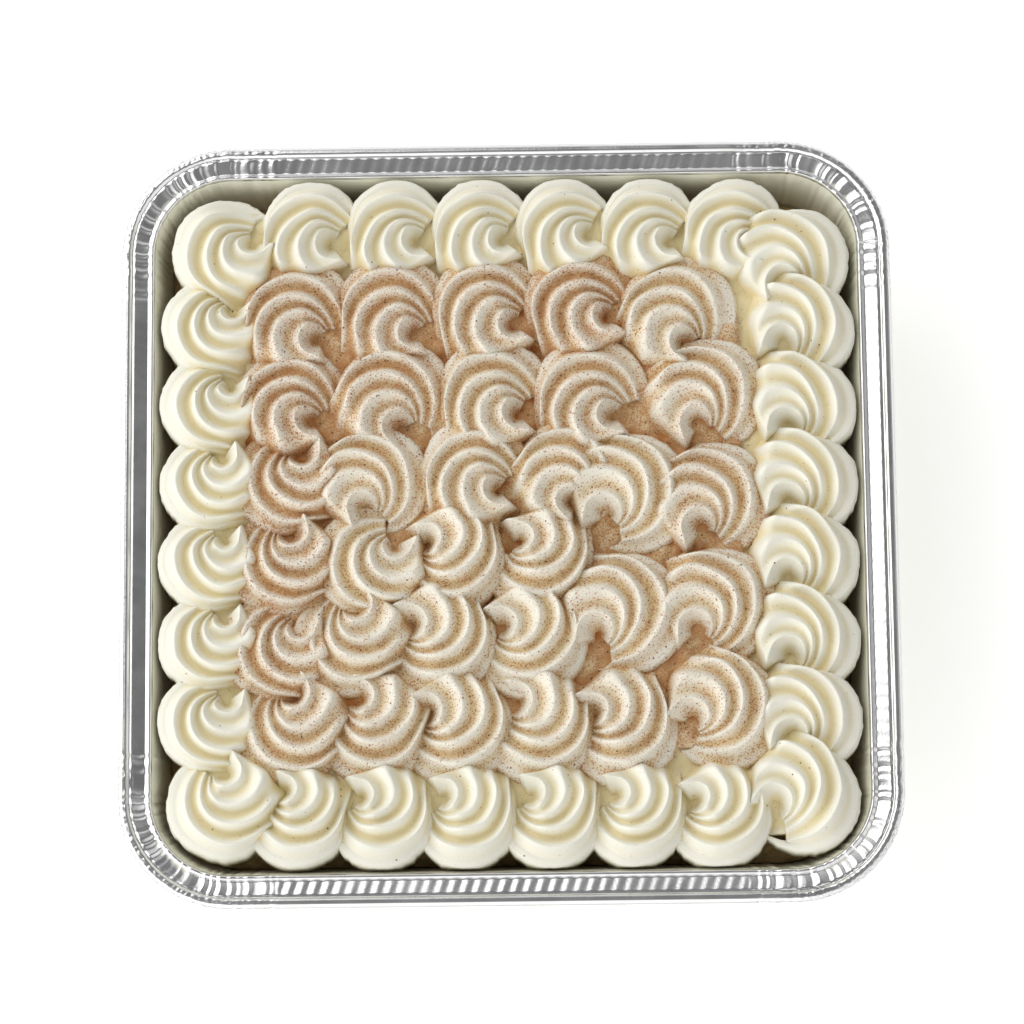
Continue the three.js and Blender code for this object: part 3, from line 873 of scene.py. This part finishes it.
cream_tree = cream_surface()
heights = np.full((FELT_COUNT, FELT_COUNT), NO_CREAM)
for row in range(FELT_COUNT):
    for column in range(FELT_COUNT):
        above = Vector((column * FELT_STEP - FELT_HALF, row * FELT_STEP - FELT_HALF, ABOVE))
        hit = cream_tree.ray_cast(above, Vector((0, 0, -1)))
        if hit[0] is not None:
            heights[row, column] = hit[0].z


def mean_round(values, reach):
    """The mean over a square that reaches so many steps each way, by running sums along each axis."""
    for axis in (0, 1):
        margins = [(reach, reach) if a == axis else (0, 0) for a in (0, 1)]
        sums = np.cumsum(np.insert(np.pad(values, margins, mode="edge"), 0, 0, axis=axis), axis=axis)
        size = values.shape[axis]
        upper = np.take(sums, range(2 * reach + 1, size + 2 * reach + 1), axis=axis)
        lower = np.take(sums, range(0, size), axis=axis)
        values = (upper - lower) / (2 * reach + 1)
    return values


near = mean_round(mean_round(heights, NEAR_REACH), NEAR_REACH)
wide = mean_round(mean_round(heights, WIDE_REACH), WIDE_REACH)


def felt(field, x, y):
    column = min(max((x + FELT_HALF) / FELT_STEP, 0), FELT_COUNT - 1.001)
    row = min(max((y + FELT_HALF) / FELT_STEP, 0), FELT_COUNT - 1.001)
    c, r = int(column), int(row)
    lower = blend(field[r, c], field[r, c + 1], column - c)
    upper = blend(field[r + 1, c], field[r + 1, c + 1], column - c)
    return float(blend(lower, upper, row - r))


for form in [*piping.values(), *beds.values()]:
    hollow_layer = form.verts.layers.float.new("hollow")
    for vert in form.verts:
        x, y, z = vert.co
        deep = max(felt(near, x, y) - z, 0) + 0.6 * max(felt(wide, x, y) - z, 0)
        vert[hollow_layer] = min(deep / HOLLOW_DEPTH, 1.0)
print("cream heights in mm:", round(heights.min() / MM, 1), "to", round(heights.max() / MM, 1))

# %% [markdown]
# ## Cinnamon dust as a node group
# Ground cinnamon on cream is many grains finer than a tenth of a millimetre, which tint the cream,
# and some coarser ones, which show as dots. The group mixes both over any cream colour. Its input
# Amount says how much fell: below it, a fine noise decides grain by grain.

# %% Dust group
dusting, inputs, outputs = new_group(
    "cinnamon_dust",
    [("Cream", "Color", (0.8, 0.8, 0.7, 1)), ("Cinnamon", "Color", (0.43, 0.165, 0.04, 1)),
     ("Dark Grain", "Color", (0.17, 0.07, 0.03, 1)), ("Amount", "Float", 0.5)],
    [("Color", "Color"), ("Dust", "Float")],
)
place = object_place(dusting)
grain = put(dusting, "TexNoise", {"Vector": place, "Scale": 2100.0, "Detail": 2.0}).outputs["Fac"]
patch = put(dusting, "TexNoise", {"Vector": place, "Scale": 260.0, "Detail": 3.0}).outputs["Fac"]
amount = inputs.outputs["Amount"]
even = rescale(dusting, patch, 0.3, 0.7, 0.75, 1.25)
fallen = math_node(dusting, "MULTIPLY", amount, even)
thick = math_node(dusting, "POWER", fallen, 0.4)
span = {"Value": thick, "From Max": 1.3, "To Min": 0.78, "To Max": 0.42}
edge = put(dusting, "MapRange", span).outputs[0]
over = math_node(dusting, "SUBTRACT", grain, edge)
speck = put(dusting, "MapRange", {"Value": over, "From Min": -0.04, "From Max": 0.07}).outputs[0]
veil = math_node(dusting, "MULTIPLY", fallen, 0.38)
dust = math_node(dusting, "MAXIMUM", math_node(dusting, "MULTIPLY", speck, 0.85), veil, True)
dusted = mix_colours(dusting, dust, inputs.outputs["Cream"], inputs.outputs["Cinnamon"])
coarse = put(dusting, "TexVoronoi", {"Vector": place, "Scale": 900.0})
dot = rescale(dusting, coarse.outputs["Distance"], 0.18, 0.30, 1, 0)
tint = put(dusting, "SeparateColor", {"Color": coarse.outputs["Color"]}).outputs[0]
chosen = math_node(dusting, "LESS_THAN", tint, math_node(dusting, "MULTIPLY", fallen, 0.12))
dots = math_node(dusting, "MULTIPLY", dot, chosen)
spotted = mix_colours(dusting, dots, dusted, inputs.outputs["Dark Grain"])
dusting.links.new(spotted, outputs.inputs["Color"])
dusting.links.new(dust, outputs.inputs["Dust"])
print("dust group has", len(dusting.nodes), "nodes")

# %% [markdown]
# ## The cream's finish
# Whipped cream is off-white and matt with a soft gloss. In the grooves and hollows its colour is
# painted warmer and more yellow, as painted shade with the light that bounces there. Very small
# air bubbles roughen it. Cinnamon gathers in grooves and hollows, and less of it stays on the crests.

# %% Cream finish
IVORY = (0.82, 0.805, 0.70, 1)
# The darker yellow that is painted into grooves and hollows as shade.
PAINTED_SHADE_YELLOW = (0.80, 0.70, 0.42, 1)


CREST_CATCH, GROOVE_CATCH, HOLLOW_CATCH = 0.46, 0.55, 1.3  # how much of the cinnamon stays


def cream_finish(name):
    material, tree, shader = new_material(name)
    groove = put(tree, "Attribute", attribute_name="groove").outputs["Fac"]
    hollow = put(tree, "Attribute", attribute_name="hollow").outputs["Fac"]
    dust = put(tree, "Attribute", attribute_name="dust").outputs["Fac"]
    # Painted shade: grooves and deep hollows are tinted towards the darker yellow.
    painted_shade = add_product(tree, hollow, 0.9, math_node(tree, "MULTIPLY", groove, 0.7))
    cream = mix_colours(tree, rescale(tree, painted_shade, 0.05, 1.1), IVORY, PAINTED_SHADE_YELLOW)
    in_groove = add_product(tree, groove, GROOVE_CATCH, CREST_CATCH)
    settled = add_product(tree, hollow, HOLLOW_CATCH, in_groove)
    amount = math_node(tree, "MULTIPLY", settled, dust)
    dusty = place_group(tree, dusting, {"Cream": cream, "Amount": amount})
    tree.links.new(dusty.outputs["Color"], shader.inputs["Base Color"])
    rough = rescale(tree, dusty.outputs["Dust"], 0.0, 1.0, 0.5, 0.85)
    tree.links.new(rough, shader.inputs["Roughness"])
    bubbles = put(tree, "TexNoise", {"Vector": object_place(tree), "Scale": 1300.0, "Detail": 3.0})
    height = add_product(tree, dusty.outputs["Dust"], 0.5, bubbles.outputs["Fac"])
    tree.links.new(bump(tree, height, 0.35, 0.12 * MM), shader.inputs["Normal"])
    return material


border_finish = cream_finish("border_whipped_cream")
dusted_finish = cream_finish("dusted_whipped_cream")

for name, form in [*piping.items(), *beds.items()]:
    if name.startswith("border"):
        finish_piece(name, form, border_finish, "border_cream")
    else:
        finish_piece(name, form, dusted_finish, "dusted_cream")

# %% [markdown]
# ## Grains of cinnamon
# The coarser grains of ground cinnamon are real crumbs, a third of a millimetre across, that lie on
# the cream. They are thrown from above at random; more of them stay where much was dusted and in
# the hollows, and a few fall on the border. One small lump is the pattern for all of them.

# %% Throw the grains
GRAIN_THROWS = 16000
GRAIN_SIZES = (0.08 * MM, 0.19 * MM)
THROW_HALF = 88 * MM
BORDER_CATCH = 0.05


def dust_at(x, y):
    """How heavily it was dusted here: as on the nearest swirl."""
    near_swirl = min(SWIRLS, key=lambda swirl: (swirl["centre"] - Vector((x, y))).length)
    return near_swirl["dust"]


pattern = bmesh.new()
bmesh.ops.create_icosphere(pattern, subdivisions=1, radius=1)
lump = [vert.co.copy() for vert in pattern.verts]
lump_faces = [[vert.index for vert in face.verts] for face in pattern.faces]
pattern.free()
chance = random.Random(5)
form = bmesh.new()
grains = 0
for _ in range(GRAIN_THROWS):
    x, y = chance.uniform(-THROW_HALF, THROW_HALF), chance.uniform(-THROW_HALF, THROW_HALF)
    keep, size, turn = chance.random(), chance.uniform(*GRAIN_SIZES), chance.uniform(0, math.pi)
    place, normal, _, _ = cream_tree.ray_cast(Vector((x, y, ABOVE)), Vector((0, 0, -1)))
    if place is None:
        continue
    hollow = min(max(felt(near, x, y) - place.z, 0) / HOLLOW_DEPTH, 1)
    if keep > max(dust_at(x, y), BORDER_CATCH) * (0.30 + hollow):
        continue
    stretch = Matrix.Diagonal((1.3, 0.9, 0.7))
    set_down = Matrix.Rotation(turn, 3, "Z") @ stretch * size
    corners = [form.verts.new(place + normal * size * 0.3 + set_down @ corner) for corner in lump]
    for face in lump_faces:
        form.faces.new([corners[index] for index in face])
    grains += 1
bmesh.ops.recalc_face_normals(form, faces=form.faces)
print(grains, "grains of cinnamon stayed on the cream")

# %% Grain finish
grain_finish, tree, shader = new_material("ground_cinnamon")
tone = put(tree, "TexNoise", {"Vector": object_place(tree), "Scale": 900.0}).outputs["Fac"]
GRAIN_DARK = (0.15, 0.060, 0.020, 1)
GRAIN_LIGHT = (0.34, 0.13, 0.04, 1)
tree.links.new(mix_colours(tree, rescale(tree, tone, 0.35, 0.65), GRAIN_DARK, GRAIN_LIGHT),
               shader.inputs["Base Color"])
shader.inputs["Roughness"].default_value = 0.85
finish_piece("cinnamon_grains", form, grain_finish, "dusted_cream", smooth=False)

# %% [markdown]
# ## Size
# The scene is brought up to date. The dressed model has to stay in the imported model's
# box, apart from a small margin.

# %% Size
bpy.context.view_layer.update()
